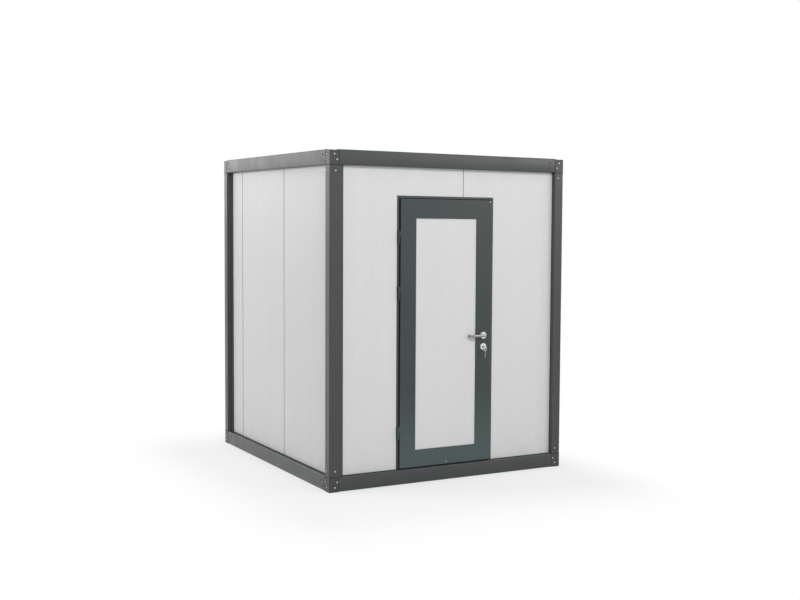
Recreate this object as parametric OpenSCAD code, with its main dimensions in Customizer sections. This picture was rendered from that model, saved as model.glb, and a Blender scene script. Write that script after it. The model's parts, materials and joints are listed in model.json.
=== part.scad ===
// Flat-pack sanitary cabin: a bolted steel frame with sandwich-panel walls and one steel door.
// The origin is the middle of the footprint at floor level of the site: +X right, +Y to the back,
// +Z up, with the door in the front wall at -Y.  All sizes are in millimetres.

/* [Cabin] */
// Width of the front over the corner posts
cabin_w = 2100; // [1900:10:3000]
// Depth from front to back over the corner posts
cabin_d = 2400; // [1900:10:3600]
// Height over the top rails
cabin_h = 2591; // [2520:1:3200]

/* [Frame] */
// Width of a corner post's two outer faces
post_w = 80; // [70:1:110]
// Wall thickness of the cold-formed posts and rails
steel_t = 3; // [2:0.5:4]
// Radius of a post's bent outer edges
post_bend_r = 5; // [4:0.5:8]
// Width of each of the two steps on the sealing flange of a post
flange_step_w = 22; // [16:1:30]
// Depth of the flange's first step behind the outer face
flange_step_1 = 12; // [8:1:16]
// Depth of the flange's second step behind the outer face
flange_step_2 = 28; // [22:1:32]
// Height of the bottom and top rails, with the corner blocks' base or cap
rail_h = 115; // [90:1:150]
// Width of the rails' broad flange, which the walls stand on
rail_flange_w = 110; // [104:1:130]
// Width of the rails' narrow flange
rail_lip_flange_w = 60; // [40:1:80]
// Height of the turned-down lip on the top rails
rail_lip_h = 20; // [10:1:30]
// Plan size of a corner block
block_w = 78; // [66:1:80]
// Wall thickness of a corner block
block_t = 6; // [4:0.5:8]
// Step between a rail and the corner block at its end
block_step = 5; // [2:0.5:8]
// Height of the bottom rails' underside above the ground, which the corner blocks stand on
foot_gap = 2; // [1:0.5:8]

/* [Walls] */
// Depth of the walls' outer face behind the frame
wall_recess = 42; // [38:1:50]
// Thickness of the sandwich panels
panel_t = 60; // [40:1:60]
// Covering width of one sandwich panel
panel_module = 1000; // [600:10:1200]
// First seam of a wall without a door, from the corner at its right end
first_seam = 1024; // [600:2:1280]
// Narrowest panel that closes the left end of such a wall
narrowest_panel = 100; // [60:10:200]
// Place of the seam over the door, to the right of the door's centre line
front_seam = 156; // [-300:1:300]
// Open joint between two panels
seam_gap = 3; // [2:0.5:5]
// Thickness of the tongue along a panel's edge
tongue_t = 20; // [14:1:26]
// Length of the tongue
tongue_l = 12; // [8:1:16]

/* [Floor and roof] */
// Thickness of the floor deck
deck_t = 21; // [18:1:28]
// Number of cross members in the floor, and as many in the roof
joist_count = 4; // [3:1:6]
// Width of a cross member
joist_w = 50; // [40:1:70]
// Height of the roof's cross members
roof_joist_h = 60; // [40:1:70]
// Thickness of the ceiling panel
ceiling_t = 40; // [30:1:60]
// Thickness of the roof sheet and of the sheet under the floor
sheet_t = 2; // [1:0.5:3]
// Height of a roof sheet rib
rib_h = 18; // [12:1:24]
// Distance between two roof sheet ribs
rib_pitch = 200; // [150:10:250]

/* [Doorway] */
// Width over the door frame
door_frame_w = 865; // [760:5:960]
// Height of the door frame above the bottom rail
door_frame_h = 2143; // [2000:1:2200]
// Place of the door's centre line from the cabin's, to the right
door_offset = -36.5; // [-80:0.5:0]
// Width of the frame's face
jamb_face = 18; // [14:1:24]
// Width of the stop behind the leaf
jamb_stop = 15; // [12:1:20]
// How far the frame stands in front of the wall
jamb_proud = 2; // [1:0.5:4]
// Thickness of the threshold plate
threshold_t = 3; // [2:0.5:5]

/* [Door leaf] */
// Thickness of the leaf
leaf_t = 45; // [40:1:50]
// How far the leaf stands in front of the frame
leaf_proud = 18; // [14:1:20]
// Gap around the leaf
leaf_gap = 5; // [5:0.5:8]
// Width of the stile on the hinge side
hinge_stile_w = 136; // [110:1:150]
// Width of the stile on the lock side
lock_stile_w = 140; // [120:1:160]
// Height of the leaf's top rail
leaf_top_h = 152; // [120:1:180]
// Height of the leaf's bottom rail
leaf_bottom_h = 137; // [110:1:180]
// Depth of the white insert behind the leaf's faces
insert_recess = 8; // [4:1:12]

/* [Hinges] */
// Radius of a hinge barrel
barrel_r = 7; // [6:0.5:8]
// Length of a whole hinge
hinge_l = 100; // [80:1:120]
// Distance from the frame's face to the hinge pin
hinge_stand = 13; // [11:0.5:16]
// Radius of the hinge pin
pin_r = 4; // [3:0.5:4.5]
// Height of the lowest hinge's middle above the bottom rail
hinge_low = 287; // [200:1:400]
// Height of the middle hinge above the bottom rail
hinge_mid = 1386; // [900:1:1500]
// Height of the highest hinge above the bottom rail
hinge_high = 1820; // [1650:1:1900]

/* [Lever and lock] */
// Height of the lever's axis above the leaf's bottom edge
lever_h = 1021; // [900:1:1100]
// Distance from the leaf's lock edge to the lever's axis
backset = 73; // [60:1:80]
// Length of the lever from its axis to its end
lever_l = 138; // [120:1:150]
// Radius of the lever's bar
lever_r = 9; // [8:0.5:10]
// Distance from the leaf's face to the middle of the lever's bar
lever_reach = 44; // [40:1:50]
// Radius of the round roses
rose_r = 27; // [25:0.5:28]
// Thickness of the round roses
rose_t = 8; // [6:0.5:10]
// Distance from the lever's axis down to the key's axis
key_drop = 92; // [80:1:95]
// Radius of the lock cylinder's round part
cylinder_r = 8.5; // [8:0.5:9]
// Width of the lock cylinder's flat part
cylinder_w = 10; // [9:0.5:11]
// Height of the lock cylinder over both parts
cylinder_h = 33; // [30:1:34]
// Width across the lever's square spindle
spindle_w = 8; // [7:0.5:9]

/* [Hidden] */

$fn = 48;

// Sides of the cabin, in the order in which they follow each other seen from above
FRONT = 0;
RIGHT = 1;
BACK = 2;
LEFT = 3;

// Clearances
fit = 1;          // between pieces that are laid or bolted together
tongue_fit = 0.5; // around a tongue in its groove
turn_fit = 0.3;   // around a pin or neck that turns
eps = 1;          // how far a cutting shape runs past the piece

// Colours
ANTHRACITE = "#4a4f51";
PANEL_WHITE = "#dcdddd";
DOOR_GREY = "#4c5557";
STEEL = "#b9bab8";
ZINC = "#9aa0a2";
DECK = "#8b8d8c";

// Frame
wall_inner = wall_recess + panel_t;      // depth of the walls' inner face
rail_z0 = foot_gap;                      // underside of the bottom rails
floor_z = rail_h;                        // top of the bottom rails
lintel_z = cabin_h - rail_h;             // underside of the top rails
flange_end = post_w + 2 * flange_step_w; // far edge of a post's sealing flange
wall_start = wall_inner + 2 * fit;       // a wall's left end, behind the flange
wall_end_gap = post_w + fit;             // a wall's right end, from the corner

// Floor and roof
floor_joist_h = floor_z - deck_t - rail_z0 - steel_t;
deck_edge = rail_flange_w + 2 * fit;
sheet_edge = rail_lip_flange_w + 2 * fit;
joist_edge = steel_t + fit;

// Door, measured across the cabin (x), in from the front face (depth) and up (z)
door_x = door_offset;
frame_depth = wall_recess - jamb_proud;
leaf_depth = frame_depth - leaf_proud;
stop_depth = leaf_depth + leaf_t + leaf_gap;
frame_x0 = door_x - door_frame_w / 2;
frame_x1 = door_x + door_frame_w / 2;
frame_top = floor_z + door_frame_h;
leaf_x0 = frame_x0 + jamb_face + leaf_gap;
leaf_x1 = frame_x1 - jamb_face - leaf_gap;
leaf_z0 = floor_z + threshold_t + leaf_gap;
leaf_z1 = frame_top - jamb_face - leaf_gap;
insert_x0 = leaf_x0 + hinge_stile_w;
insert_x1 = leaf_x1 - lock_stile_w;
insert_z0 = leaf_z0 + leaf_bottom_h;
insert_z1 = leaf_z1 - leaf_top_h;
jamb_t = 2;

// Hinges
hinge_x = leaf_x0 - leaf_gap - barrel_r;
hinge_depth = frame_depth - hinge_stand;
hinge_heights = [hinge_low, hinge_mid, hinge_high];
lug_t = 6;
knuckle_l = hinge_l / 2;

// Lever and lock
lever_x = leaf_x1 - backset;
lever_z = leaf_z0 + lever_h;
key_z = lever_z - key_drop;
leaf_back_depth = leaf_depth + leaf_t;
lever_bend_r = 16;
lever_end_gap = 12;
cylinder_out = 3;
spindle_hole_r = spindle_w;
key_t = 2.5;
key_stem_l = 18;
key_hole_r = 3;
bow_r = 12;
bow_depth = leaf_depth - rose_t - cylinder_out - key_stem_l;
key_ring_r = 16;
key_ring_wire_r = 1.2;

// Places children made in a wall's own frame: x along the wall from its left end as seen from
// outside, y in from the outer face, z up.
module on_side(side) {
    corner = [[-1, -1], [1, -1], [1, 1], [-1, 1]][side];
    translate([corner[0] * cabin_w / 2, corner[1] * cabin_d / 2, 0])
        rotate([0, 0, 90 * side])
            children();
}

function side_length(side) = side % 2 == 0 ? cabin_w : cabin_d;

// Places children made with y as depth in from the front face
module from_front() {
    translate([0, -cabin_d / 2, 0])
        children();
}

// Turns a section drawn as [depth, height] so that it runs along a wall
module along_wall(length) {
    rotate([90, 0, 90])
        linear_extrude(length)
            children();
}

// The waste outside a rounded corner of radius r at the origin
module corner_waste(r) {
    difference() {
        translate([-eps, -eps])
            square(r + eps);
        translate([r, r])
            circle(r);
    }
}

// ---- Frame ----

// Outline of a post, drawn in by t: a square tube with a stepped flange along the next wall
module post_outline(t) {
    step = post_w + flange_step_w;
    polygon([
        [t, t], [post_w - t, t],
        [post_w - t, flange_step_1 + t], [step - t, flange_step_1 + t],
        [step - t, flange_step_2 + t], [flange_end - t, flange_step_2 + t],
        [flange_end - t, wall_recess - t], [post_w - t, wall_recess - t],
        [post_w - t, post_w - t], [t, post_w - t]
    ]);
}

module post_section() {
    difference() {
        post_outline(0);
        corner_waste(post_bend_r);
        translate([post_w, 0])
            mirror([1, 0])
                corner_waste(post_bend_r);
        translate([0, post_w])
            mirror([0, 1])
                corner_waste(post_bend_r);
        post_outline(steel_t);
    }
}

module post(side) {
    color(ANTHRACITE)
        on_side(side)
            translate([0, 0, floor_z])
                linear_extrude(lintel_z - floor_z)
                    post_section();
}

// Plan of a rail: square ends against the corner blocks, mitred where two rails' flanges meet
module rail_plan(side) {
    length = side_length(side);
    start = block_w;
    mitre = rail_flange_w;
    polygon([
        [start, 0], [length - start, 0], [length - start, start - fit],
        [length - mitre - fit, mitre], [mitre + fit, mitre], [start, start - fit]
    ]);
}

module rail(side) {
    color(ANTHRACITE)
        on_side(side)
            intersection() {
                along_wall(side_length(side))
                    children();
                linear_extrude(cabin_h)
                    rail_plan(side);
            }
}

// Upright web outside, a broad flange on top for the walls and a narrow one below
module bottom_rail_section() {
    translate([0, rail_z0])
        square([steel_t, floor_z - rail_z0]);
    translate([0, rail_z0])
        square([rail_lip_flange_w, steel_t]);
    translate([0, floor_z - steel_t])
        square([rail_flange_w, steel_t]);
}

// Upright web outside, a broad flange below over the walls and a lipped one on top
module top_rail_section() {
    translate([0, lintel_z])
        square([steel_t, rail_h]);
    translate([0, lintel_z])
        square([rail_flange_w, steel_t]);
    translate([0, cabin_h - steel_t])
        square([rail_lip_flange_w, steel_t]);
    translate([rail_lip_flange_w - steel_t, cabin_h - rail_lip_h])
        square([steel_t, rail_lip_h]);
}

// A block is a steel box that is open towards its post
module corner_block(height, cavity_z) {
    difference() {
        cube([block_w, block_w, height]);
        translate([block_t, block_t, cavity_z])
            cube([block_w - 2 * block_t, block_w - 2 * block_t, height]);
    }
}

module corner_blocks_bottom() {
    color(ANTHRACITE)
        for (side = [FRONT, RIGHT, BACK, LEFT])
            on_side(side)
                corner_block(rail_h, block_t);
}

module corner_blocks_top() {
    height = rail_h - block_step;
    color(ANTHRACITE)
        for (side = [FRONT, RIGHT, BACK, LEFT])
            on_side(side)
                translate([0, 0, lintel_z])
                    corner_block(height, -block_t);
}

// ---- Floor and roof ----

// Box members from side to side, spread evenly from front to back
module joists(z0, height) {
    pitch = (cabin_d - 2 * rail_flange_w - joist_w) / (joist_count - 1);
    for (i = [0 : joist_count - 1])
        translate([joist_edge - cabin_w / 2, rail_flange_w - cabin_d / 2 + i * pitch, z0])
            difference() {
                cube([cabin_w - 2 * joist_edge, joist_w, height]);
                translate([-eps, steel_t, steel_t])
                    cube([cabin_w, joist_w - 2 * steel_t, height - 2 * steel_t]);
            }
}

// A flat plate that stays the given distance inside the cabin's outer faces
module plate(edge, z0, thickness) {
    translate([edge - cabin_w / 2, edge - cabin_d / 2, z0])
        cube([cabin_w - 2 * edge, cabin_d - 2 * edge, thickness]);
}

// Cuts the corner blocks' places out of a sheet, with room to lay it between them
module between_blocks() {
    difference() {
        children();
        for (side = [FRONT, RIGHT, BACK, LEFT])
            on_side(side)
                cube([block_w + fit, block_w + fit, cabin_h]);
    }
}

module floor_joists() {
    color(ZINC)
        joists(rail_z0 + steel_t, floor_joist_h);
}

module underfloor_sheet() {
    color(ZINC)
        between_blocks()
            plate(sheet_edge, rail_z0 + steel_t - sheet_t, sheet_t);
}

module floor_deck() {
    color(DECK)
        plate(deck_edge, floor_z - deck_t, deck_t);
}

module roof_joists() {
    color(ZINC)
        joists(lintel_z + steel_t, roof_joist_h);
}

// One rib of the roof sheet, as [across, up] points from its left foot
function rib_points(x0, lift) = [
    [x0, lift], [x0 + rib_h, rib_h + lift], [x0 + 2.5 * rib_h, rib_h + lift], [x0 + 3.5 * rib_h, lift]
];

module roof_sheet() {
    width = cabin_w - 2 * sheet_edge;
    ribs = floor(width / rib_pitch);
    first = (width - (ribs - 1) * rib_pitch - 3.5 * rib_h) / 2;
    rib_feet = [for (i = [0 : ribs - 1]) first + i * rib_pitch];
    top = [for (x = rib_feet) each rib_points(x, sheet_t)];
    under = [for (i = [ribs - 1 : -1 : 0], k = [3 : -1 : 0]) rib_points(rib_feet[i], 0)[k]];
    color(ZINC)
        between_blocks()
            translate([-width / 2, cabin_d / 2 - sheet_edge, lintel_z + steel_t + roof_joist_h])
                rotate([90, 0, 0])
                    linear_extrude(cabin_d - 2 * sheet_edge)
                        polygon(concat([[0, sheet_t]], top, [[width, sheet_t], [width, 0]], under, [[0, 0]]));
}

module ceiling_panel() {
    color(PANEL_WHITE)
        plate(wall_inner + fit, lintel_z - ceiling_t, ceiling_t);
}

// ---- Walls ----

// A sandwich panel from x0 to x1 along a wall; a tongue closes the joint on its right edge and
// a groove takes the neighbour's on its left edge
module panel(side, x0, x1, z0, z1, groove = false, tongue = false) {
    middle = wall_recess + panel_t / 2;
    height = z1 - z0;
    color(PANEL_WHITE)
        on_side(side)
            difference() {
                union() {
                    translate([x0, wall_recess, z0])
                        cube([x1 - x0, panel_t, height]);
                    if (tongue)
                        translate([x1 - eps, middle - tongue_t / 2, z0])
                            cube([tongue_l + seam_gap + eps, tongue_t, height]);
                }
                if (groove)
                    translate([x0 - eps, middle - tongue_t / 2 - tongue_fit, z0 - eps])
                        cube([tongue_l + 2 * tongue_fit + eps, tongue_t + 2 * tongue_fit, height + 2 * eps]);
            }
}

// The panels of a wall without a door, set out from its right end with the cut one at its left
module wall_panels(side) {
    length = side_length(side);
    seams = [for (x = [length - first_seam : -panel_module : wall_start + narrowest_panel]) x];
    last = len(seams);
    for (i = [0 : last])
        panel(
            side,
            i == last ? wall_start : seams[i],
            i == 0 ? length - wall_end_gap : seams[i - 1] - seam_gap,
            floor_z, lintel_z,
            groove = i < last,
            tongue = i > 0
        );
}

module left_wall_panels() wall_panels(LEFT);
module right_wall_panels() wall_panels(RIGHT);
module back_wall_panels() wall_panels(BACK);

// The front wall's panels are cut out around the door frame
module front_panel_left() {
    panel(FRONT, wall_start, frame_x0 + cabin_w / 2, floor_z, lintel_z);
}

module front_panel_right() {
    panel(FRONT, frame_x1 + cabin_w / 2, cabin_w - wall_end_gap, floor_z, lintel_z);
}

module over_door_panels() {
    seam = door_x + front_seam + cabin_w / 2;
    panel(FRONT, frame_x0 + cabin_w / 2, seam - seam_gap, frame_top, lintel_z, tongue = true);
    panel(FRONT, seam, frame_x1 + cabin_w / 2, frame_top, lintel_z, groove = true);
}

// ---- Doorway ----

// Section of the door frame as [from its outer edge, depth], drawn in by t
module door_frame_outline(t) {
    stop_edge = jamb_face + jamb_stop;
    back = wall_inner + jamb_proud;
    polygon([
        [t, frame_depth + t], [jamb_face - t, frame_depth + t],
        [jamb_face - t, stop_depth + t], [stop_edge - t, stop_depth + t],
        [stop_edge - t, back - t], [t, back - t]
    ]);
}

module door_frame_section() {
    difference() {
        door_frame_outline(0);
        door_frame_outline(jamb_t);
    }
}

// A jamb's full height, made of the section in children
module hinge_side_jamb() {
    from_front()
        translate([frame_x0, 0, floor_z])
            linear_extrude(door_frame_h)
                children();
}

module lock_side_jamb() {
    from_front()
        translate([frame_x1, 0, floor_z])
            mirror([1, 0, 0])
                linear_extrude(door_frame_h)
                    children();
}

// What the jambs take away from the head and the threshold between them
module between_jambs() {
    difference() {
        children();
        hinge_side_jamb() door_frame_outline(0);
        lock_side_jamb() door_frame_outline(0);
    }
}

module door_jamb_hinge_side() {
    color(DOOR_GREY)
        hinge_side_jamb()
            door_frame_section();
}

module door_jamb_lock_side() {
    color(DOOR_GREY)
        lock_side_jamb()
            door_frame_section();
}

module door_frame_head() {
    color(DOOR_GREY)
        between_jambs()
            from_front()
                translate([frame_x1 - jamb_t, 0, frame_top])
                    rotate([0, 90, 180])
                        mirror([0, 1, 0])
                            linear_extrude(door_frame_w - 2 * jamb_t)
                                door_frame_section();
}

module door_threshold() {
    upstand_t = 8;
    back = wall_inner + jamb_proud;
    color(DOOR_GREY)
        between_jambs()
            from_front()
                translate([frame_x0 + jamb_t, 0, floor_z]) {
                    translate([0, frame_depth, 0])
                        cube([door_frame_w - 2 * jamb_t, back - frame_depth, threshold_t]);
                    translate([0, stop_depth, 0])
                        cube([door_frame_w - 2 * jamb_t, upstand_t, threshold_t + jamb_stop]);
                }
}

// ---- Door leaf ----

module leaf_piece(x0, x1, z0, z1, recess = 0) {
    from_front()
        translate([x0, leaf_depth + recess, z0])
            cube([x1 - x0, leaf_t - 2 * recess, z1 - z0]);
}

// A bar through the leaf and past both its faces, its section drawn as [x, z]
module through_leaf(x, z, past) {
    from_front()
        translate([x, leaf_back_depth + past, z])
            rotate([90, 0, 0])
                linear_extrude(leaf_t + 2 * past)
                    children();
}

// Profile of the lock cylinder, grown by g: a round part over a narrow one
module cylinder_profile(g) {
    circle(cylinder_r + g);
    translate([-cylinder_w / 2 - g, cylinder_r - cylinder_h - g])
        square([cylinder_w + 2 * g, cylinder_h - cylinder_r + g]);
}

module door_hinge_stile() {
    color(DOOR_GREY)
        leaf_piece(leaf_x0, insert_x0, leaf_z0, leaf_z1);
}

module door_lock_stile() {
    color(DOOR_GREY)
        difference() {
            leaf_piece(insert_x1, leaf_x1, leaf_z0, leaf_z1);
            through_leaf(lever_x, lever_z, eps)
                circle(spindle_hole_r);
            through_leaf(lever_x, key_z, eps)
                cylinder_profile(turn_fit);
        }
}

module door_top_rail() {
    color(DOOR_GREY)
        leaf_piece(insert_x0, insert_x1, insert_z1, leaf_z1);
}

module door_bottom_rail() {
    color(DOOR_GREY)
        leaf_piece(insert_x0, insert_x1, leaf_z0, insert_z0);
}

module door_insert() {
    color(PANEL_WHITE)
        leaf_piece(insert_x0, insert_x1, insert_z0, insert_z1, insert_recess);
}

// ---- Hinges ----

// Places children at each hinge, with the origin on the pin at the hinge's middle
module at_hinges() {
    for (height = hinge_heights)
        from_front()
            translate([hinge_x, hinge_depth, floor_z + height])
                children();
}

// Lower knuckles on the frame, each with the pin that the leaf is lifted onto
module hinge_pins() {
    color(DOOR_GREY)
        at_hinges() {
            translate([0, 0, -knuckle_l])
                cylinder(r = barrel_r, h = knuckle_l - fit / 2);
            translate([-lug_t / 2, 0, -knuckle_l])
                cube([lug_t, hinge_stand, knuckle_l - fit / 2]);
            translate([0, 0, -fit])
                cylinder(r = pin_r, h = knuckle_l + 3 * fit);
        }
}

// Upper knuckles on the leaf
module hinge_sleeves() {
    sleeve_l = knuckle_l - fit / 2;
    color(DOOR_GREY)
        at_hinges()
            translate([0, 0, fit / 2])
                difference() {
                    union() {
                        cylinder(r = barrel_r, h = sleeve_l);
                        translate([0, -lug_t / 2, 0])
                            cube([leaf_x0 - hinge_x, lug_t, sleeve_l]);
                    }
                    translate([0, 0, -eps])
                        cylinder(r = pin_r + turn_fit, h = sleeve_l + 2 * eps);
                }
}

// ---- Lever and lock ----

// Round plates on both faces of the leaf, around the lever's necks and the lock cylinder
module door_roses() {
    color(STEEL)
        for (depth = [leaf_depth, leaf_back_depth + rose_t])
            from_front() {
                translate([lever_x, depth, lever_z])
                    rotate([90, 0, 0])
                        linear_extrude(rose_t)
                            difference() {
                                circle(rose_r);
                                circle(lever_r + turn_fit);
                            }
                translate([lever_x, depth, key_z])
                    rotate([90, 0, 0])
                        linear_extrude(rose_t)
                            difference() {
                                circle(rose_r);
                                cylinder_profile(turn_fit);
                            }
            }
}

module lock_cylinder() {
    color(ZINC)
        through_leaf(lever_x, key_z, rose_t + cylinder_out)
            cylinder_profile(0);
}

// A quarter of a round bar's bend in the x-y plane, from +x round to +y
module bar_bend() {
    rotate_extrude(angle = 90)
        translate([lever_bend_r, 0])
            circle(lever_r);
}

// A lever with its grip towards -x and its neck's foot at the origin, reaching out along -y
module lever() {
    bar_l = lever_l - 2 * lever_bend_r;
    neck_l = lever_reach - lever_bend_r;
    return_l = neck_l - lever_end_gap;
    rotate([90, 0, 0])
        cylinder(r = lever_r, h = neck_l);
    translate([-lever_bend_r, -neck_l, 0])
        rotate([0, 0, -90])
            bar_bend();
    translate([-lever_bend_r, -lever_reach, 0])
        rotate([0, -90, 0])
            cylinder(r = lever_r, h = bar_l);
    translate([lever_bend_r - lever_l, -neck_l, 0])
        rotate([0, 0, 180])
            bar_bend();
    translate([-lever_l, -neck_l, 0])
        rotate([-90, 0, 0])
            cylinder(r = lever_r, h = return_l);
}

// The outside lever carries the square spindle that goes through the leaf
module outside_lever() {
    color(STEEL)
        from_front() {
            translate([lever_x, leaf_depth - turn_fit, lever_z])
                lever();
            translate([lever_x - spindle_w / 2, leaf_depth - fit, lever_z - spindle_w / 2])
                cube([spindle_w, leaf_t + fit, spindle_w]);
        }
}

module inside_lever() {
    color(STEEL)
        from_front()
            translate([lever_x, leaf_back_depth, lever_z])
                mirror([0, 1, 0])
                    lever();
}

// A flat key with its round bow at the origin and its blade down -z
module key(blade_l) {
    blade_w = 8;
    rotate([0, 90, 0])
        difference() {
            union() {
                translate([0, 0, -key_t / 2])
                    cylinder(r = bow_r, h = key_t);
                translate([0, -blade_w / 2, -key_t / 2])
                    cube([bow_r + blade_l, blade_w, key_t]);
            }
            translate([-bow_r / 2, 0, -key_t])
                cylinder(r = key_hole_r, h = 2 * key_t);
        }
}

// The key in the lock, the ring through its bow and the spare key that hangs on the ring
module door_keys() {
    blade_l = 34;
    hole_depth = bow_depth - bow_r / 2;
    ring_top_z = key_z;
    ring_bottom_z = ring_top_z - 2 * key_ring_r;
    color(STEEL)
        from_front() {
            translate([lever_x, bow_depth, key_z])
                rotate([90, 0, 0])
                    key(key_stem_l - bow_r);
            translate([lever_x, hole_depth, ring_top_z - key_ring_r])
                rotate([90, 0, 0])
                    rotate_extrude()
                        translate([key_ring_r, 0])
                            circle(key_ring_wire_r);
            translate([lever_x, hole_depth, ring_bottom_z - bow_r / 2])
                key(blade_l);
        }
}

rail(FRONT) bottom_rail_section();  // bottom_rail_front
rail(RIGHT) bottom_rail_section();  // bottom_rail_right
rail(BACK) bottom_rail_section();  // bottom_rail_back
rail(LEFT) bottom_rail_section();  // bottom_rail_left
rail(FRONT) top_rail_section();  // top_rail_front
rail(RIGHT) top_rail_section();  // top_rail_right
rail(BACK) top_rail_section();  // top_rail_back
rail(LEFT) top_rail_section();  // top_rail_left
post(FRONT);  // post_front_left
post(RIGHT);  // post_front_right
post(BACK);  // post_back_right
post(LEFT);  // post_back_left
corner_blocks_bottom();
corner_blocks_top();
floor_joists();
underfloor_sheet();
floor_deck();
roof_joists();
roof_sheet();
ceiling_panel();
left_wall_panels();
right_wall_panels();
back_wall_panels();
front_panel_left();
front_panel_right();
over_door_panels();
door_jamb_hinge_side();
door_jamb_lock_side();
door_frame_head();
door_threshold();
hinge_pins();
hinge_sleeves();
door_hinge_stile();
door_lock_stile();
door_top_rail();
door_bottom_rail();
door_insert();
door_roses();
lock_cylinder();
door_keys();
outside_lever();
inside_lever();
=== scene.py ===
"""Looks of the portable sanitary cabin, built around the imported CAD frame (metres, +Z up, door at -Y)."""
import bpy
import bmesh
import json
import math
from mathutils import Matrix, Vector


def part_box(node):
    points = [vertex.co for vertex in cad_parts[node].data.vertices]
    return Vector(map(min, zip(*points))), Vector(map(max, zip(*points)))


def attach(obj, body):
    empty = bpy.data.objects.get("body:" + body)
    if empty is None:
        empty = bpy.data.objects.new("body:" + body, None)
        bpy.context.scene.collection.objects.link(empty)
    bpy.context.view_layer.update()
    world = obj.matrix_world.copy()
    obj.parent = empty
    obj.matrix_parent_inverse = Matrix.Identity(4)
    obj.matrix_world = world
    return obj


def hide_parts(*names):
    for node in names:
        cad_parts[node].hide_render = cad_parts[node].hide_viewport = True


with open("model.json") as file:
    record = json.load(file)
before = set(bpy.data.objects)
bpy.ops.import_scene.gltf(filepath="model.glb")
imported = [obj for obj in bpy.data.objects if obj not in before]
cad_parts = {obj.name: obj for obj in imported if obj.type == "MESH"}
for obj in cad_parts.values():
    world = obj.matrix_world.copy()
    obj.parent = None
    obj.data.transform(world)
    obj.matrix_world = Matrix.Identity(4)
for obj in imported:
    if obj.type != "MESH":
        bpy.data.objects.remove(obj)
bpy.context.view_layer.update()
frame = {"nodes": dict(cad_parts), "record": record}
MM = 0.001

# ---------------------------------------------------------------- sizes from the CAD frame

blocks_lo, blocks_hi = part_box("corner_blocks_bottom")
CABIN_W = blocks_hi.x - blocks_lo.x
CABIN_D = blocks_hi.y - blocks_lo.y
CABIN_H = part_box("top_rail_front")[1].z
FLOOR_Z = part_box("bottom_rail_front")[1].z
LINTEL_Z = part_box("top_rail_front")[0].z
WALL_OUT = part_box("front_panel_left")[0].y - blocks_lo.y   # depth of the walls' outer face
WALL_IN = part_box("front_panel_left")[1].y - blocks_lo.y    # depth of the walls' inner face
BLOCK_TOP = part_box("corner_blocks_top")[1].z
LEAF_LO, stile_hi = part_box("door_hinge_stile")
LEAF_HI = Vector((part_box("door_lock_stile")[1].x, stile_hi.y, stile_hi.z))
INSERT_LO, INSERT_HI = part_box("door_insert")
FRAME_LO, FRAME_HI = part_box("door_jamb_hinge_side")[0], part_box("door_jamb_lock_side")[1]
ROSE_LO, ROSE_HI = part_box("door_roses")
ROSE_X = (ROSE_LO.x + ROSE_HI.x) / 2
ROSE_R = (ROSE_HI.x - ROSE_LO.x) / 2
LEVER_Z = ROSE_HI.z - ROSE_R

FRONT, RIGHT, BACK, LEFT = range(4)


def side_matrix(side):
    """Places a wall's own frame: x along it from its left end seen from outside, y inwards, z up."""
    corner = ((-1, -1), (1, -1), (1, 1), (-1, 1))[side]
    place = Matrix.Translation((corner[0] * CABIN_W / 2, corner[1] * CABIN_D / 2, 0))
    return place @ Matrix.Rotation(side * math.pi / 2, 4, "Z")


def side_length(side):
    return CABIN_W if side in (FRONT, BACK) else CABIN_D


# ---------------------------------------------------------------- camera

VIEW_TURN = (32.18, 3.736, 0.658)                              # yaw, pitch and roll in degrees
VIEW_PLACE = (-1.7881, -3.6716, 0.7971)                        # in cabin heights
LENS, SENSOR_W, LENS_SHIFT = 53.93, 36, -0.1448                # mm, mm and sensor widths


def make_camera():
    """The photograph's viewpoint, solved from the frame's edges."""
    yaw, pitch, roll = (math.radians(a) for a in VIEW_TURN)
    forward = Vector((math.sin(yaw) * math.cos(pitch), math.cos(yaw) * math.cos(pitch), -math.sin(pitch)))
    right = Vector((math.cos(yaw), -math.sin(yaw), 0))
    up = right.cross(forward)
    across = math.cos(roll) * right + math.sin(roll) * up
    above = math.cos(roll) * up - math.sin(roll) * right
    cam = bpy.data.cameras.new("camera")
    cam.sensor_width = SENSOR_W
    cam.lens = LENS
    cam.shift_x = LENS_SHIFT
    cam.clip_end = 200
    obj = bpy.data.objects.new("camera", cam)
    obj.location = Vector(VIEW_PLACE) * CABIN_H
    obj.rotation_mode = "QUATERNION"
    obj.rotation_quaternion = Matrix((across, above, -forward)).transposed().to_quaternion()
    bpy.context.collection.objects.link(obj)
    bpy.context.scene.camera = obj


make_camera()

# ---------------------------------------------------------------- mesh helpers

SHARP_ANGLE = math.radians(35)                                 # folds sharper than this stay crisp


def new_object(name, bm, material, body="cabin", smooth=False):
    """Turns a bmesh into a piece that rides on a CAD body."""
    bmesh.ops.recalc_face_normals(bm, faces=bm.faces)
    mesh = bpy.data.meshes.new(name)
    bm.to_mesh(mesh)
    bm.free()
    if smooth:
        mesh.shade_smooth()
        mesh.set_sharp_from_angle(angle=SHARP_ANGLE)
    obj = bpy.data.objects.new(name, mesh)
    bpy.context.collection.objects.link(obj)
    mesh.materials.append(material)
    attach(obj, body)
    return obj


def prism(bm, outline, z0, z1, matrix=None):
    """Adds a closed prism over an outline of (x, y) points."""
    matrix = matrix or Matrix.Identity(4)
    low = [bm.verts.new(matrix @ Vector((x, y, z0))) for x, y in outline]
    high = [bm.verts.new(matrix @ Vector((x, y, z1))) for x, y in outline]
    bm.faces.new(low[::-1])
    bm.faces.new(high)
    count = len(outline)
    for i in range(count):
        j = (i + 1) % count
        bm.faces.new((low[i], low[j], high[j], high[i]))


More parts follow.
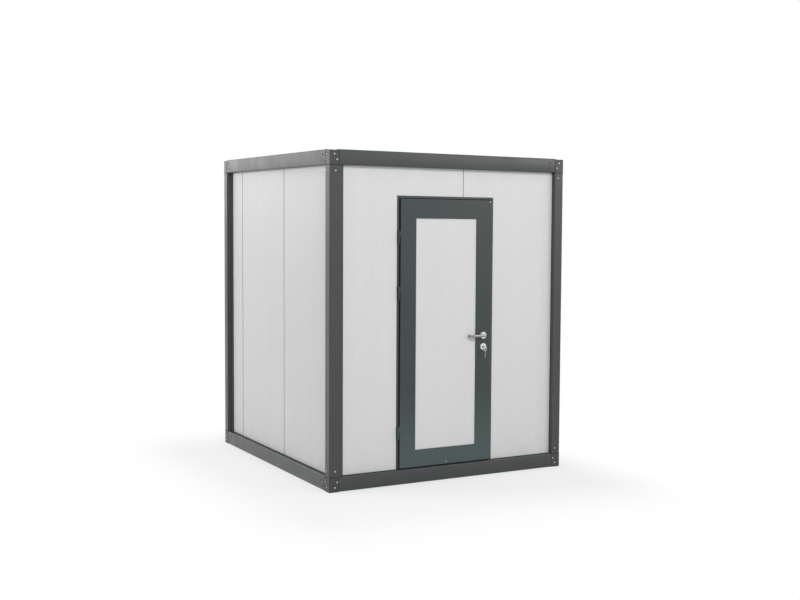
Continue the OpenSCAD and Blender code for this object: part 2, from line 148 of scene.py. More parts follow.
def lathe(bm, profile, matrix, steps=24):
    """Adds a turned shape: (radius, height) points round local z, closed on its axis where radius is 0."""
    rings = []
    for r, h in profile:
        if r == 0:
            rings.append([bm.verts.new(matrix @ Vector((0, 0, h)))])
            continue
        angles = [2 * math.pi * k / steps for k in range(steps)]
        rings.append([bm.verts.new(matrix @ Vector((r * math.cos(a), r * math.sin(a), h))) for a in angles])
    for a, b in zip(rings, rings[1:]):
        for k in range(steps):
            k2 = (k + 1) % steps
            corners = [a[k % len(a)], a[k2 % len(a)], b[k2 % len(b)], b[k % len(b)]]
            corners = list(dict.fromkeys(corners))
            if len(corners) > 2:
                bm.faces.new(corners)


def solids_of(node):
    """Boxes of a CAD node's separate solids."""
    mesh = frame["nodes"][node].data
    parent = {}

    def find(k):
        while parent.setdefault(k, k) != k:
            k = parent[k]
        return k

    keys = [tuple(round(c, 5) for c in v.co) for v in mesh.vertices]
    for polygon in mesh.polygons:
        first = find(keys[polygon.vertices[0]])
        for i in polygon.vertices[1:]:
            parent[find(keys[i])] = first
    groups = {}
    for k in set(keys):
        groups.setdefault(find(k), []).append(k)
    return [(Vector(map(min, *g)), Vector(map(max, *g))) for g in groups.values()]


# ---------------------------------------------------------------- materials

class Nodes:
    """A short way to write a node tree."""

    def __init__(self, name):
        self.material = bpy.data.materials.new(name)
        self.material.use_nodes = True
        self.tree = self.material.node_tree
        self.shader = self.tree.nodes["Principled BSDF"]
        self.place = self.add("ShaderNodeTexCoord").outputs["Object"]

    def add(self, kind, **settings):
        node = self.tree.nodes.new(kind)
        for key, value in settings.items():
            if key in node.bl_rna.properties:
                setattr(node, key, value)
            else:
                self.feed(node.inputs[key.replace("_", " ")], value)
        return node

    def feed(self, socket, value):
        if isinstance(value, bpy.types.NodeSocket):
            self.tree.links.new(value, socket)
        else:
            socket.default_value = value

    def noise(self, scale, detail=3, stretch=(1, 1, 1), rough=0.5):
        mapped = self.add("ShaderNodeMapping", Vector=self.place, Scale=stretch)
        made = self.add(
            "ShaderNodeTexNoise", Vector=mapped.outputs[0], Scale=scale, Detail=detail, Roughness=rough
        )
        return made.outputs["Fac"]

    def range(self, value, lo, hi, from_lo=0.3, from_hi=0.7):
        made = self.add("ShaderNodeMapRange")
        for socket, number in zip(("Value", "From Min", "From Max", "To Min", "To Max"),
                                  (value, from_lo, from_hi, lo, hi)):
            self.feed(made.inputs[socket], number)
        return made.outputs["Result"]

    def mix(self, amount, a, b):
        made = self.add("ShaderNodeMix", data_type="RGBA")
        self.feed(made.inputs[0], amount)
        self.feed(made.inputs[6], a)
        self.feed(made.inputs[7], b)
        return made.outputs[2]

    def bump(self, height, distance, strength=1.0, normal=None):
        made = self.add("ShaderNodeBump")
        self.feed(made.inputs["Height"], height)
        self.feed(made.inputs["Distance"], distance)
        self.feed(made.inputs["Strength"], strength)
        if normal is not None:
            self.feed(made.inputs["Normal"], normal)
        return made.outputs["Normal"]

    def set(self, **values):
        for key, value in values.items():
            self.feed(self.shader.inputs[key.replace("_", " ")], value)


def shade(colour, factor):
    return tuple(c * factor for c in colour[:3]) + (1,)


def edge_mask(n, radius):
    """1 along the piece's sharp edges and 0 elsewhere, and the normal rounded over those edges."""
    soft = n.add("ShaderNodeBevel", samples=4, Radius=radius).outputs[0]
    true = n.add("ShaderNodeNewGeometry").outputs["Normal"]
    dot = n.add("ShaderNodeVectorMath", operation="DOT_PRODUCT")
    n.feed(dot.inputs[0], soft)
    n.feed(dot.inputs[1], true)
    return n.range(dot.outputs["Value"], 1, 0, 0.8, 0.995), soft


def powder_coat(name, colour, roughness, floor_tone=0.0):
    """Baked paint on steel: slight mottling, orange peel, sharp edges lighter as painted highlight broken up as
    wear, and a lighter tone towards the floor if asked.
    """
    n = Nodes(name)
    sharp_edges, soft = edge_mask(n, 1.6 * MM)
    mottle = n.range(n.noise(2.3, 4), 0, 1)
    colour_node = n.mix(mottle, shade(colour, 0.93), shade(colour, 1.08))
    scuffs = n.range(n.noise(38, 5, rough=0.65), 0, 0.5, 0.45, 0.75)
    edges = n.add("ShaderNodeMath", operation="MULTIPLY")
    n.feed(edges.inputs[0], sharp_edges)
    n.feed(edges.inputs[1], scuffs)
    # painted highlight: sharp edges made much lighter, broken up by scuff noise as wear
    colour_node = n.mix(edges.outputs[0], colour_node, shade(colour, 2.6))
    # the paint is made lighter towards the floor, when asked
    if floor_tone:
        height = n.add("ShaderNodeSeparateXYZ", Vector=n.place).outputs["Z"]
        low = n.range(height, floor_tone, 0, FLOOR_Z + 0.08, FLOOR_Z + 0.6)
        colour_node = n.mix(low, colour_node, shade(colour, 3.2))
    peel = n.bump(n.noise(520, 2), 0.25 * MM, 0.25, soft)
    n.set(
        Base_Color=colour_node,
        Roughness=n.range(n.noise(7, 3), roughness - 0.05, roughness + 0.06),
        Normal=peel,
        IOR=1.5,
    )
    n.set(Coat_Weight=0.2, Coat_Roughness=0.28)
    return n.material


def coated_sheet(name, colour):
    """Off-white coil-coated facing: faint streaks down the sheet, and a little darker in patches near the
    floor.
    """
    n = Nodes(name)
    streaks = n.range(n.noise(9, 3, (1, 1, 0.06)), 0, 1)
    cloud = n.range(n.noise(1.1, 3), 0, 1)
    colour_node = n.mix(streaks, shade(colour, 0.985), shade(colour, 1.012))
    colour_node = n.mix(n.range(cloud, 0, 0.5, 0, 1), colour_node, shade(colour, 0.975))
    height = n.add("ShaderNodeSeparateXYZ", Vector=n.place).outputs["Z"]
    # darker in noisy patches towards the floor
    floor_tone = n.add("ShaderNodeMath", operation="MULTIPLY")
    n.feed(floor_tone.inputs[0], n.range(height, 0.55, 0, FLOOR_Z, FLOOR_Z + 0.35))
    n.feed(floor_tone.inputs[1], n.range(n.noise(14, 5), 0.1, 1))
    low_colour = (0.93 * colour[0], 0.92 * colour[1], 0.9 * colour[2])
    colour_node = n.mix(floor_tone.outputs[0], colour_node, shade(low_colour, 0.95))
    n.set(
        Base_Color=colour_node,
        Roughness=n.range(n.noise(20, 3, (1, 1, 0.1)), 0.36, 0.46),
        Normal=n.bump(n.noise(330, 2), 0.2 * MM, 0.2),
    )
    return n.material


def galvanised(name, colour):
    """Zinc coat with soft spangle."""
    n = Nodes(name)
    cells = n.add("ShaderNodeTexVoronoi", Vector=n.place, Scale=70.0, Randomness=1.0)
    spangle = n.range(cells.outputs["Color"], 0, 1, 0.1, 0.9)
    n.set(
        Base_Color=n.mix(spangle, shade(colour, 0.84), shade(colour, 1.12)),
        Metallic=0.9,
        Roughness=n.range(spangle, 0.34, 0.5, 0, 1),
        Normal=n.bump(n.noise(260, 3), 0.2 * MM, 0.3),
    )
    return n.material


def satin_steel(name, colour):
    """Fine-ground stainless steel."""
    n = Nodes(name)
    grain = n.range(n.noise(900, 3, (0.06, 1, 1)), 0, 1)
    soft = n.add("ShaderNodeBevel", samples=4, Radius=0.8 * MM).outputs[0]
    n.set(
        Base_Color=n.mix(grain, shade(colour, 0.9), shade(colour, 1.06)),
        Metallic=1.0,
        Roughness=n.range(grain, 0.22, 0.36, 0, 1),
        Normal=n.bump(grain, 0.05 * MM, 0.3, soft),
    )
    return n.material


def vinyl(name, colour):
    """Speckled sheet flooring."""
    n = Nodes(name)
    chips = n.add("ShaderNodeTexVoronoi", Vector=n.place, Scale=260.0)
    light = n.range(chips.outputs["Color"], 0, 1, 0.55, 0.8)
    dark = n.range(n.noise(180, 4), 0, 0.6, 0.55, 0.75)
    colour_node = n.mix(light, shade(colour, 0.9), shade(colour, 1.35))
    n.set(
        Base_Color=n.mix(dark, colour_node, shade(colour, 0.6)),
        Roughness=n.range(n.noise(30, 3), 0.5, 0.62),
        Normal=n.bump(n.noise(400, 3), 0.3 * MM, 0.3),
    )
    return n.material


def rubber(name, colour):
    """Dull black rubber for the strips, beads and washers that paint shade in joints and gaps."""
    n = Nodes(name)
    n.set(
        Base_Color=n.mix(n.range(n.noise(25, 4), 0, 1), shade(colour, 0.8), shade(colour, 1.3)),
        Roughness=n.range(n.noise(60, 3), 0.7, 0.85),
        Normal=n.bump(n.noise(500, 3), 0.2 * MM, 0.3),
    )
    return n.material


FRAME_PAINT = powder_coat("frame_paint", (0.031, 0.035, 0.036), 0.40)
BLOCK_PAINT = powder_coat("block_paint", (0.027, 0.028, 0.031), 0.42)
DOOR_PAINT = powder_coat("door_paint", (0.014, 0.025, 0.024), 0.40, floor_tone=0.8)
JAMB_PAINT = powder_coat("jamb_paint", (0.034, 0.043, 0.043), 0.40)
BOLT_PAINT = powder_coat("bolt_paint", (0.10, 0.103, 0.105), 0.32)
PANEL_WHITE = coated_sheet("panel_white", (0.70, 0.705, 0.70))
STEEL = satin_steel("satin_steel", (0.74, 0.74, 0.71))
# darkened steel: its low colour paints the dark reflections on the lever and the lock cylinder
LEVER_STEEL = satin_steel("lever_steel", (0.27, 0.27, 0.26))
ZINC = galvanised("zinc", (0.50, 0.52, 0.53))
VINYL = vinyl("deck", (0.26, 0.27, 0.27))
# black for the strips, beads and washers that paint shade in joints and gaps
SHADE_RUBBER = rubber("shade_rubber", (0.02, 0.02, 0.02))

SLOT_MATERIALS = {
    "frame_paint": FRAME_PAINT, "door_paint": DOOR_PAINT, "panel_white": PANEL_WHITE,
    "satin_steel": STEEL, "zinc": ZINC, "deck": VINYL,
}

NODE_MATERIALS = {
    "corner_blocks_bottom": BLOCK_PAINT, "corner_blocks_top": BLOCK_PAINT,
    "lock_cylinder": LEVER_STEEL,
    "door_jamb_hinge_side": JAMB_PAINT, "door_jamb_lock_side": JAMB_PAINT,
    "door_frame_head": JAMB_PAINT, "door_threshold": JAMB_PAINT,
}


def finish_cad_nodes():
    """Gives every CAD node the material of its slot, or its own variant of it."""
    for part in frame["record"]["subparts"]:
        mesh = frame["nodes"][part["node"]].data
        mesh.materials.clear()
        mesh.materials.append(NODE_MATERIALS.get(part["node"], SLOT_MATERIALS[part["material_slot"]]))


finish_cad_nodes()


def soften_edges():
    """Rounds the steel frame's edges, the corner blocks' a little more."""
    for name, obj in frame["nodes"].items():
        block = name.startswith("corner_blocks")
        if not block and not name.startswith(("post_", "door_jamb", "door_frame")):
            continue
        weld = obj.modifiers.new("weld", "WELD")
        weld.merge_threshold = 0.01 * MM
        bevel = obj.modifiers.new("bevel", "BEVEL")
        bevel.width = (2.9 if block else 1.3) * MM
        bevel.segments = 2
        bevel.limit_method = "ANGLE"
        bevel.angle_limit = math.radians(40)
        bevel.harden_normals = True
        obj.modifiers.new("normals", "WEIGHTED_NORMAL").keep_sharp = True


soften_edges()

# ---------------------------------------------------------------- rails of the frame

RAIL_R = 6 * MM                                                # outer radius of a folded corner
RAIL_T = 3 * MM
RAIL_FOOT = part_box("bottom_rail_front")[0].z
BLOCK_W = 78 * MM
MITRE_GAP = 1 * MM
FLANGE_W, LIP_FLANGE_W, LIP_H = 110 * MM, 60 * MM, 20 * MM


def folded(path, thick, radius):
    """Outer and inner faces of sheet folded along a path of right-angled corners."""
    turns = [(Vector(b) - Vector(a)).normalized() for a, b in zip(path, path[1:])]
    bend = next(a.x * b.y - a.y * b.x for a, b in zip(turns, turns[1:]) if abs(a.dot(b)) < 0.5)
    outer, inner = [], []
    for i, point in enumerate(path):
        d1, d2 = turns[max(i - 1, 0)], turns[min(i, len(turns) - 1)]
        if abs(d1.dot(d2)) > 0.5:
            outer.append(Vector(point))
            inner.append(Vector(point) + thick * bend * Vector((-d1.y, d1.x)))
            continue
        centre = Vector(point) - radius * d1 + radius * d2
        for k in range(5):
            a = math.radians(22.5 * k)
            away = d1 * math.sin(a) - d2 * math.cos(a)
            outer.append(centre + radius * away)
            inner.append(centre + (radius - thick) * away)
    return outer, inner


def rail_piece(node, side, path):
    """A folded rail, square against the corner blocks and mitred where two rails' flanges meet."""
    bm = bmesh.new()
    matrix, length = side_matrix(side), side_length(side)

    def row(points, far):
        ends = [BLOCK_W if y <= BLOCK_W else y + MITRE_GAP for y, _ in points]
        if far:
            ends = [length - x for x in ends]
        return [bm.verts.new(matrix @ Vector((x, y, z))) for x, (y, z) in zip(ends, points)]

    outer, inner = folded(path, RAIL_T, RAIL_R)
    loops = [row(outer, False), row(outer, True), row(inner, True), row(inner, False)]
    for a, b in zip(loops, loops[1:] + loops[:1]):
        for k in range(len(a) - 1):
            bm.faces.new((a[k], a[k + 1], b[k + 1], b[k]))
    for k in (0, -1):
        bm.faces.new([loop[k] for loop in loops])
    piece = new_object(node + "_folded", bm, FRAME_PAINT, "cabin", smooth=True)
    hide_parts(node)


def rails():
    for side, name in enumerate(("front", "right", "back", "left")):
        rail_piece("bottom_rail_" + name, side, [
            (FLANGE_W, FLOOR_Z), (BLOCK_W, FLOOR_Z), (0, FLOOR_Z), (0, RAIL_FOOT), (LIP_FLANGE_W, RAIL_FOOT)])
        rail_piece("top_rail_" + name, side, [
            (FLANGE_W, LINTEL_Z), (BLOCK_W, LINTEL_Z), (0, LINTEL_Z), (0, CABIN_H), (LIP_FLANGE_W, CABIN_H),
            (LIP_FLANGE_W, CABIN_H - LIP_H)])


rails()

# ---------------------------------------------------------------- walls

RIB_PITCH = 25 * MM
RIB_W = 8 * MM
RIB_D = 0.7 * MM
EDGE_R = 1.5 * MM
FRONT_SEAM, SIDE_SEAM = 4 * MM, 8 * MM                         # open joint between two panels
# black strips in the panel joints paint the joints' shade; how far back they sit, front and sides
FRONT_SHADE_DEEP, SIDE_SHADE_DEEP = 2.5 * MM, 0.5 * MM
SHADE_STRIP_T = 6 * MM
TONGUE_L = 12 * MM
TONGUE_T = 20 * MM
WALL_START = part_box("front_panel_left")[0].x + CABIN_W / 2     # from a corner to the wall, at its left end
WALL_END = CABIN_W / 2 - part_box("front_panel_right")[1].x      # and at its right end
# black strip on the ledge at the wall's foot, which paints the ledge's shade
FOOT_SHADE_W = 24 * MM
FOOT_SHADE_T = 3 * MM


def ribbed_line(x0, x1, depth, inwards):
    """Points along a facing from x0 to x1, dipping inwards at each fine groove."""
    points = []
    count = int((x1 - x0) / RIB_PITCH) + 2
    start = math.floor(x0 / RIB_PITCH)
    for k in range(start, start + count):
        middle = (k + 0.5) * RIB_PITCH
        if middle - RIB_W < x0 or middle + RIB_W > x1:
            continue
        floor = depth + inwards * RIB_D
        points += [
            (middle - RIB_W / 2, depth), (middle - RIB_W / 5, floor),
            (middle + RIB_W / 5, floor), (middle + RIB_W / 2, depth),
        ]
    return points


def panel_outline(x0, x1, groove, tongue, seam):
    """Plan of one sandwich panel with fine grooves outside and inside."""
    middle = (WALL_OUT + WALL_IN) / 2
    half = TONGUE_T / 2
    points = [(x0, WALL_OUT + EDGE_R), (x0 + EDGE_R, WALL_OUT)]
    points += ribbed_line(x0 + EDGE_R, x1 - EDGE_R, WALL_OUT, 1)
    points += [(x1 - EDGE_R, WALL_OUT), (x1, WALL_OUT + EDGE_R)]
    if tongue:
        end = x1 + seam + TONGUE_L
        points += [(x1, middle - half), (end, middle - half), (end, middle + half), (x1, middle + half)]
    points += [(x1, WALL_IN - EDGE_R), (x1 - EDGE_R, WALL_IN)]
    points += ribbed_line(x0 + EDGE_R, x1 - EDGE_R, WALL_IN, -1)[::-1]
    points += [(x0 + EDGE_R, WALL_IN), (x0, WALL_IN - EDGE_R)]
    if groove:
        end = x0 + TONGUE_L + 1 * MM
        half += 0.5 * MM
        points += [(x0, middle + half), (end, middle + half), (end, middle - half), (x0, middle - half)]
    return points


def wall_piece(node, side):
    """One wall node's panels, with their fine ribs, in place of the plain CAD slabs."""
    matrix = side_matrix(side)
    back = matrix.inverted()
    spans = []
    for lo, hi in solids_of(node):
        a, b = back @ lo, back @ hi
        spans.append((min(a.x, b.x), max(a.x, b.x), min(a.z, b.z), max(a.z, b.z)))
    spans.sort()
    seam = FRONT_SEAM if side == FRONT else SIDE_SEAM
    bm = bmesh.new()
    for i, (x0, x1, z0, z1) in enumerate(spans):
        last = i == len(spans) - 1
        if not last:
            x1 = spans[i + 1][0] - seam
        prism(bm, panel_outline(x0, x1, i > 0, not last, seam), z0, z1, matrix)
    piece = new_object(node + "_ribbed", bm, PANEL_WHITE, "cabin")
    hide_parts(node)
    return [(nxt[0] - seam, nxt[0], nxt[2], nxt[3]) for nxt in spans[1:]]


def joint_shade_strips(bm, side, seams):
    """Black strips set back in the joints between panels, on both faces, painting the open joints' shade."""
    matrix = side_matrix(side)
    deep = FRONT_SHADE_DEEP if side == FRONT else SIDE_SHADE_DEEP
    for x0, x1, z0, z1 in seams:
        for y0 in (WALL_OUT + deep, WALL_IN - deep - SHADE_STRIP_T):
            prism(bm, [(x0, y0), (x1, y0), (x1, y0 + SHADE_STRIP_T), (x0, y0 + SHADE_STRIP_T)], z0, z1, matrix)


def walls():
    shade_strips = bmesh.new()
    for node, side in (
        ("left_wall_panels", LEFT), ("right_wall_panels", RIGHT), ("back_wall_panels", BACK),
        ("front_panel_left", FRONT), ("front_panel_right", FRONT), ("over_door_panels", FRONT),
    ):
        joint_shade_strips(shade_strips, side, wall_piece(node, side))
    new_object("panel_joint_shade_strips", shade_strips, SHADE_RUBBER, "cabin")


walls()


def foot_shade_strips():
    """A black strip on the bottom rail along the foot of each wall, painting the shade on the ledge under the
    wall.
    """
    bm = bmesh.new()
    for side in range(4):
        matrix = side_matrix(side)
        length = side_length(side)
        ends = [WALL_START, length - WALL_END]
        if side == FRONT:
            ends[1:1] = [FRAME_LO.x + length / 2, FRAME_HI.x + length / 2]
        for x0, x1 in zip(ends[::2], ends[1::2]):
            edge = WALL_OUT - FOOT_SHADE_W
            outline = [(x0, edge), (x1, edge), (x1, WALL_OUT), (x0, WALL_OUT)]
            prism(bm, outline, FLOOR_Z, FLOOR_Z + FOOT_SHADE_T, matrix)
    new_object("wall_foot_shade_strips", bm, SHADE_RUBBER, "cabin")


foot_shade_strips()

# ---------------------------------------------------------------- bolts on the frame

# Bolt places in mm: from the corner edge and from the rail's outer edge, at the foot and at the top
BLOCK_BOLTS = (((47, 36), (66, 76)), ((40, 36), (62, 77)))
RAIL_BOLTS = (((128, 36), (158, 77)), ((132, 37), (150, 77)))
POST_BOLT = (49, 160)
BLOCK_BOLT_R, RAIL_BOLT_R = 6.5 * MM, 5.5 * MM


def bolt_head(heads, rings, matrix, radius):
    """Button head with a hexagon socket on a dark sealing washer, which also paints the shade ring round the
    head, standing on local z = 0.
    """
    washer, thick, rise = radius * 1.5, 1.0 * MM, radius * 0.45
    # dark washer ring: a sealing washer, and painted shade round the head
    lathe(rings, [(radius * 0.6, 0), (washer, 0), (washer, thick * 0.7), (washer - thick * 0.4, thick),
                  (radius * 0.6, thick)], matrix, steps=20)
    dome = [(radius * math.cos(a), thick + rise * (0.25 + 0.75 * math.sin(a))) for a in (0, 0.35, 0.7, 1.0)]
    top = dome[-1][1]
    profile = [(radius * 0.5, 0), (radius, thick)] + dome
    profile += [(radius * 0.42, top), (radius * 0.4, top - rise * 0.6), (0, top - rise * 0.65)]
    lathe(heads, profile, matrix, steps=18)


def frame_bolts():
    """Bolts of the corner blocks, rails and posts on all four sides."""
    bright, dark, rings = bmesh.new(), bmesh.new(), bmesh.new()
    for side in range(4):
        length = side_length(side)
        for end in (0, 1):
            for top in (0, 1):
                places = [(bright, p, BLOCK_BOLT_R) for p in BLOCK_BOLTS[top] + (POST_BOLT,)]
                places += [(dark, p, RAIL_BOLT_R) for p in RAIL_BOLTS[top]]
                for heads, (x, up), radius in places:
                    x = length - x * MM if end else x * MM
                    z = CABIN_H - up * MM if top else up * MM
                    local = Matrix.Translation((x, 0, z)) @ Matrix.Rotation(math.pi / 2, 4, "X")
                    bolt_head(heads, rings, side_matrix(side) @ local, radius)
    new_object("corner_bolts", bright, ZINC, "cabin", smooth=True)
    new_object("rail_bolts", dark, BOLT_PAINT, "cabin", smooth=True)
    new_object("bolt_shade_washers", rings, SHADE_RUBBER, "cabin", smooth=True)


frame_bolts()

# Section of a black bead that paints the shade in a joint gap: across the joint, and inwards from the steel's
# face
SHADE_BEAD = [(-4 * MM, 0.4 * MM), (-3 * MM, -0.8 * MM), (3 * MM, -0.8 * MM), (4 * MM, 0.4 * MM)]


def joint_shade_beads():
    """Black beads in the joints between the corner blocks and the posts and rails, painting the joints' shade.
    """
    bm = bmesh.new()
    for side in range(4):
        length = side_length(side)
        for end in (0, 1):
            for low, high, joint in ((2 * MM, FLOOR_Z, FLOOR_Z), (LINTEL_Z, BLOCK_TOP - 1 * MM, LINTEL_Z)):
                upright = Matrix.Translation((length - BLOCK_W if end else BLOCK_W, 0, 0))
                prism(bm, SHADE_BEAD, low, high, side_matrix(side) @ upright)
                start = length - BLOCK_W if end else 3 * MM
                level = Matrix.Translation((start, 0, joint)) @ Matrix.Rotation(math.pi / 2, 4, "Y")
                prism(bm, SHADE_BEAD, 0, BLOCK_W - 3 * MM, side_matrix(side) @ level)
    new_object("joint_shade_beads", bm, SHADE_RUBBER, "cabin")


joint_shade_beads()

# ---------------------------------------------------------------- door leaf

ARC = [(1 - math.sin(math.radians(a)), 1 - math.cos(math.radians(a))) for a in (90, 60, 30, 0)]
LEAF_R = 2.2 * MM
# black strips round the leaf and on the stop paint the shade of the gap round the leaf
STRIP_T, STRIP_FRONT, STRIP_BACK = 1.5 * MM, 21 * MM, 5 * MM   # edge strip, and its distance from each face
STOP_GAP, STOP_SHADE_T = 5 * MM, 4 * MM                         # leaf to stop, and the black strip between them
STOP_SHADE_OUT, STOP_SHADE_IN = -2 * MM, -8 * MM                 # the black strip's edges, from the leaf's edge
PLUG_INSET = 14 * MM
FOOT_PLUG_X, FOOT_PLUG_UP = -31 * MM, 20 * MM


def rect_loop(bm, lo, hi, out, y):
    """Four corners of an upright rectangle, grown outwards by out."""
    x0, z0, x1, z1 = lo.x - out, lo.z - out, hi.x + out, hi.z + out
    return [bm.verts.new((x, y, z)) for x, z in ((x0, z0), (x1, z0), (x1, z1), (x0, z1))]


def bridge(bm, loops):
    """Joins closed rows of points, one after the other and the last to the first."""
    for a, b in zip(loops, loops[1:] + loops[:1]):
        for k in range(len(a)):
            j = (k + 1) % len(a)
            bm.faces.new((a[k], a[j], b[j], b[k]))


def leaf_shell():
    """The leaf's steel frame as one folded shape, with rolled edges outside and around the insert."""
    bm = bmesh.new()
    y0, y1 = LEAF_LO.y, LEAF_HI.y
    loops = [rect_loop(bm, LEAF_LO, LEAF_HI, -o * LEAF_R, y0 + d * LEAF_R) for o, d in ARC]
    loops += [rect_loop(bm, INSERT_LO, INSERT_HI, o * LEAF_R, y0 + d * LEAF_R) for o, d in ARC[::-1]]
    loops += [rect_loop(bm, INSERT_LO, INSERT_HI, o * LEAF_R, y1 - d * LEAF_R) for o, d in ARC]
    loops += [rect_loop(bm, LEAF_LO, LEAF_HI, -o * LEAF_R, y1 - d * LEAF_R) for o, d in ARC[::-1]]
    bridge(bm, loops)
    piece = new_object("leaf_shell", bm, DOOR_PAINT, "door_leaf")
    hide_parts("door_hinge_stile", "door_top_rail", "door_bottom_rail", "door_lock_stile")


leaf_shell()


def leaf_insert():
    """White insert with the same fine ribs on both faces."""
    bm = bmesh.new()
    x0, x1 = INSERT_LO.x, INSERT_HI.x
    points = [(x0, INSERT_LO.y)] + ribbed_line(x0, x1, INSERT_LO.y, 1)
    points += [(x1, INSERT_LO.y), (x1, INSERT_HI.y)]
    points += ribbed_line(x0, x1, INSERT_HI.y, -1)[::-1] + [(x0, INSERT_HI.y)]
    prism(bm, points, INSERT_LO.z, INSERT_HI.z)
    piece = new_object("insert_ribbed", bm, PANEL_WHITE, "door_leaf")
    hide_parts("door_insert")


leaf_insert()


def leaf_band(name, rows, body):
    """A black band round the leaf, from rows of (how far outside its edge, y)."""
    bm = bmesh.new()
    bridge(bm, [rect_loop(bm, LEAF_LO, LEAF_HI, out, y) for out, y in rows])
    new_object(name, bm, SHADE_RUBBER, body)


def leaf_gap_shade():
    """Black edge strip round the leaf, and a black strip on the frame's stop that the leaf closes on: both
    paint the shade of the gap round the leaf.
    """
    y0, y1 = LEAF_LO.y + STRIP_FRONT, LEAF_HI.y - STRIP_BACK
    leaf_band("leaf_edge_shade_strip", ((0, y0), (STRIP_T, y0), (STRIP_T, y1), (0, y1)), "door_leaf")
    y1 = LEAF_HI.y + STOP_GAP
    y0 = y1 - STOP_SHADE_T
    rows = ((STOP_SHADE_OUT, y1), (STOP_SHADE_OUT, y0), (STOP_SHADE_IN, y0), (STOP_SHADE_IN, y1))
    leaf_band("frame_stop_shade_strip", rows, "cabin")


leaf_gap_shade()


def leaf_plugs():
    """Two small plugs in the leaf's face: at the middle of its foot and at its upper lock corner."""
    bm = bmesh.new()
    for x, z in ((FOOT_PLUG_X, LEAF_LO.z + FOOT_PLUG_UP), (LEAF_HI.x - PLUG_INSET, LEAF_HI.z - PLUG_INSET)):
        turn = Matrix.Translation((x, LEAF_LO.y, z)) @ Matrix.Rotation(math.pi / 2, 4, "X")
        lathe(bm, [(4 * MM, 0), (3.6 * MM, 0.9 * MM), (2 * MM, 1.5 * MM), (0, 1.7 * MM)], turn, steps=12)
    new_object("leaf_plugs", bm, STEEL, "door_leaf")


leaf_plugs()


LEVER_REACH, LEVER_L, LEVER_BEND = 44 * MM, 138 * MM, 16 * MM  # to the bar's middle, and the bends' radius
NECK_R = 9 * MM
GRIP_TALL, GRIP_THICK = 11.8 * MM, 6.8 * MM                    # half the grip's height and thickness
NECK_L = GRIP_FADE = 20 * MM                                   # round neck, then the change to oval
RING = 20                                                      # points round the bar


def lever_path():
    """Middle of the bar as (x, distance from the leaf): out, along the leaf, and back towards it."""
    arc = [math.radians(18 * k) for k in range(6)]
    path = [(0, 0), (0, 12 * MM), (0, NECK_L)]
    path += [(-LEVER_BEND * (1 - math.cos(a)), LEVER_REACH - LEVER_BEND * (1 - math.sin(a))) for a in arc]
    path += [(-LEVER_L * k / 8, LEVER_REACH) for k in range(2, 7)]
    path += [(-LEVER_L + LEVER_BEND * (1 - math.sin(a)), LEVER_REACH - LEVER_BEND * (1 - math.cos(a)))
             for a in arc]
    return path + [(-LEVER_L, 22 * MM), (-LEVER_L, 14 * MM), (-LEVER_L + 1 * MM, 12.5 * MM)]


def lever_piece(outwards, face_y):
    """A lever of oval bar: a round neck, a flat grip and a return bend towards the leaf."""
    bm = bmesh.new()
    path = lever_path()
    rows = []
    for i, (x, out) in enumerate(path):
        before, after = Vector(path[max(i - 1, 0)]), Vector(path[min(i + 1, len(path) - 1)])
        along = (after - before).normalized()
        grip = min(max((out - NECK_L) / GRIP_FADE, -x / (2 * GRIP_FADE), 0), 1)
        tall = NECK_R + grip * (GRIP_TALL - NECK_R)
        thick = NECK_R + grip * (GRIP_THICK - NECK_R)
        if i == len(path) - 1:
            tall, thick = tall * 0.85, thick * 0.8
        ring = []
        for k in range(RING):
            a = 2 * math.pi * k / RING
            side = thick * math.sin(a)
            y = face_y + outwards * (out + along.x * side)
            ring.append(bm.verts.new((ROSE_X + x - along.y * side, y, LEVER_Z + tall * math.cos(a))))
        rows.append(ring)
    for a, b in zip(rows, rows[1:]):
        for k in range(RING):
            j = (k + 1) % RING
            bm.faces.new((a[k], a[j], b[j], b[k]))
    bm.faces.new(rows[0])
    bm.faces.new(rows[-1])
    return bm


def levers():
    for node, outwards, face_y in (("outside_lever", -1, LEAF_LO.y), ("inside_lever", 1, LEAF_HI.y)):
        bm = lever_piece(outwards, face_y)
        piece = new_object(node + "_bar", bm, LEVER_STEEL, "lever", smooth=True)
        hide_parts(node)


levers()

# ---------------------------------------------------------------- lights and floor

FILL_LIGHT = 0.45                                              # the surroundings' light on the object
FLOOR_HALF = 60
SHADOW_SHIFT = (0.25, 0.5, 0)                                  # the painted shadow falls this far left and to the front
SHADOW_PAST = 0.05                                             # full painted shadow past the cabin's own plan
SHADOW_STRETCH = (1.8, 1.0, 0)
FADE_L = 1.35                                                  # from there to plain white
LIT_GREY, SEEN_GREY = (0.62, 0.62, 0.62, 1), (0.41, 0.41, 0.41, 1)


def seen_rays(tree):
    """1 for rays from the camera, from gloss and through glass, 0 for the light on the object."""
    path = tree.nodes.new("ShaderNodeLightPath")
    seen = path.outputs["Is Camera Ray"]
    for name in ("Is Glossy Ray", "Is Transmission Ray"):
        either = tree.nodes.new("ShaderNodeMath")
        either.operation = "MAXIMUM"
        tree.links.new(seen, either.inputs[0])
        tree.links.new(path.outputs[name], either.inputs[1])
        seen = either.outputs[0]
    return seen


def world_light():
    """White surroundings; a little dimmer for the light that falls on the object."""
    world = bpy.data.worlds.new("world")
    bpy.context.scene.world = world
    world.use_nodes = True
    tree = world.node_tree
    level = tree.nodes.new("ShaderNodeMapRange")
    tree.links.new(seen_rays(tree), level.inputs["Value"])
    level.inputs["To Min"].default_value = FILL_LIGHT
    level.inputs["To Max"].default_value = 1.0
    background = tree.nodes["Background"]
    background.inputs["Color"].default_value = (1, 1, 1, 1)
    tree.links.new(level.outputs["Result"], background.inputs["Strength"])


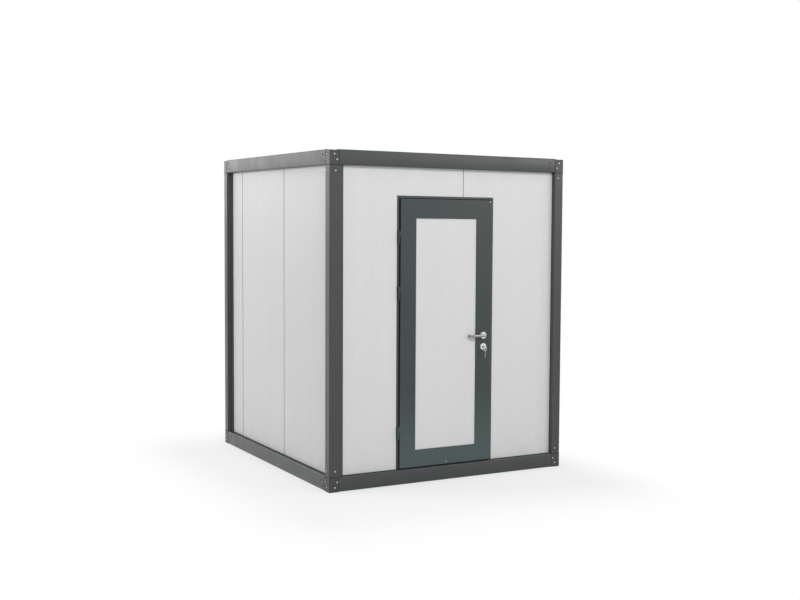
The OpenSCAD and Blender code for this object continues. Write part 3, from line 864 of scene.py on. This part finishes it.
def area_light(name, place, target, size, power):
    """A rectangular lamp aimed at a point; metres and watts."""
    light = bpy.data.lights.new(name, "AREA")
    light.shape = "RECTANGLE"
    light.size, light.size_y = size
    light.energy = power
    obj = bpy.data.objects.new(name, light)
    obj.location = place
    obj.rotation_mode = "QUATERNION"
    obj.rotation_quaternion = (Vector(target) - Vector(place)).to_track_quat("-Z", "Y")
    bpy.context.collection.objects.link(obj)


def make_floor():
    """A pale floor that takes the shadow near the cabin, with a painted shadow in its glow there, and fades to
    white away from it.
    """
    bm = bmesh.new()
    plan = ((-1, -1), (1, -1), (1, 1), (-1, 1))
    bm.faces.new([bm.verts.new((x * FLOOR_HALF, y * FLOOR_HALF, 0)) for x, y in plan])
    mesh = bpy.data.meshes.new("floor")
    bm.to_mesh(mesh)
    bm.free()
    floor = bpy.data.objects.new("floor", mesh)
    bpy.context.collection.objects.link(floor)
    n = Nodes("floor")
    seen = seen_rays(n.tree)
    vector = n.place
    for operation, value in (("ADD", SHADOW_SHIFT), ("ABSOLUTE", None),
                             ("SUBTRACT", (CABIN_W / 2 + SHADOW_PAST, CABIN_D / 2, 0)),
                             ("MAXIMUM", (0, 0, 0)), ("MULTIPLY", SHADOW_STRETCH), ("LENGTH", None)):
        step = n.add("ShaderNodeVectorMath", operation=operation)
        n.feed(step.inputs[0], vector)
        if value:
            n.feed(step.inputs[1], value)
        vector = step.outputs[0]
    far = n.range(step.outputs["Value"], 0, 1, 0, FADE_L)
    far.node.interpolation_type = "SMOOTHSTEP"
    seen_far = n.add("ShaderNodeMath", operation="MULTIPLY")
    n.feed(seen_far.inputs[0], far)
    n.feed(seen_far.inputs[1], seen)
    # painted shadow: the glow is dimmed near the cabin, shifted to the left and the front
    painted_shadow_glow = n.add("ShaderNodeMath", operation="MULTIPLY")
    n.feed(painted_shadow_glow.inputs[0], n.range(far, 0.55, 1, 0, 1))
    n.feed(painted_shadow_glow.inputs[1], seen)
    grey = n.mix(seen, LIT_GREY, SEEN_GREY)
    n.set(
        Base_Color=n.mix(seen_far.outputs[0], grey, (0, 0, 0, 1)),
        Roughness=0.9,
        Specular_IOR_Level=0.0,
        Emission_Color=(1, 1, 1, 1),
        Emission_Strength=painted_shadow_glow.outputs[0],
    )
    mesh.materials.append(n.material)


world_light()
area_light("front", (-3.0, -11.5, 7.6), (0.0, -0.6, 1.1), (2.8, 2.8), 615)
area_light("right", (6.1, -3.5, 6.2), (0.2, -1.0, 1.2), (1.5, 1.5), 45)
area_light("right_gloss", (7.2, -9.8, 4.4), (0.7, -1.0, 1.6), (4.4, 2.0), 170)
area_light("left", (-8.0, 4.0, 4.4), (-1.0, 0.3, 1.3), (5.0, 3.4), 280)
area_light("left_gloss", (-3.7, 9.8, 3.4), (-1.0, 0.5, 2.0), (2.4, 2.4), 42)
make_floor()

bpy.context.scene.view_settings.view_transform = "Standard"
